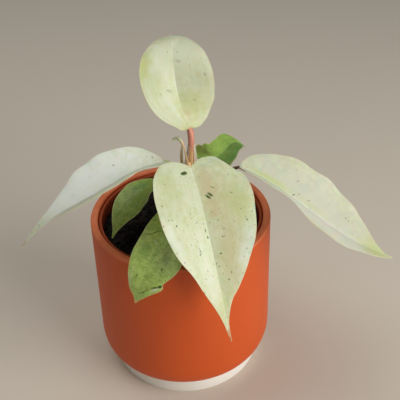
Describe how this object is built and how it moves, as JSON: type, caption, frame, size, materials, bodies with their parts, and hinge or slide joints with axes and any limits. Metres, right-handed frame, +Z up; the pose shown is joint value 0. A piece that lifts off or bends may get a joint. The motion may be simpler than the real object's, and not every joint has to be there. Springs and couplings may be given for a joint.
{
  "type": "potted snowdrift philodendron",
  "caption": "Young cream-leaved snowdrift philodendron in soil in a brown grow pot, standing inside a straight orange glazed cover pot with a bare cream foot.",
  "frame": {"origin": "middle of the cover pot's flat underside", "axes": "+Z up along the pot's axis, -Y towards the front, where the largest leaf hangs, +X to the viewer's right"},
  "size_m": [0.231, 0.1578, 0.2229],
  "materials": {
    "glazed_pot": "satin terracotta-orange glaze over cream stoneware, with a bare cream foot",
    "grow_pot": "matte brown plastic",
    "soil": "damp, loose, bark-based potting mix",
    "stem": "satin green-brown stem",
    "pink_stalk": "satin pink-red leaf stalk",
    "tan_stalk": "satin tan-green leaf stalk",
    "cream_leaf": "satin cream-white leaf with dark green specks",
    "lime_leaf": "satin yellow-green leaf with darker green patches",
    "green_leaf": "satin fresh green leaf",
    "bud": "satin cream rolled leaf",
    "dry_scale": "dry green-brown bud scale"
  },
  "bodies": {
    "root": {"pot": "glazed_pot", "grow_pot": "grow_pot", "soil": "soil", "stem": "stem", "stalk_front": "pink_stalk", "leaf_front": "cream_leaf", "stalk_left": "pink_stalk", "leaf_left": "cream_leaf", "stalk_right": "pink_stalk", "leaf_right": "cream_leaf", "stalk_top": "pink_stalk", "leaf_top": "cream_leaf", "stalk_back": "tan_stalk", "leaf_back": "green_leaf", "stalk_low_left": "tan_stalk", "leaf_low_left": "lime_leaf", "stalk_front_left": "tan_stalk", "leaf_front_left": "lime_leaf", "new_leaf": "bud", "bud_scale": "dry_scale"}
  },
  "joints": []
}
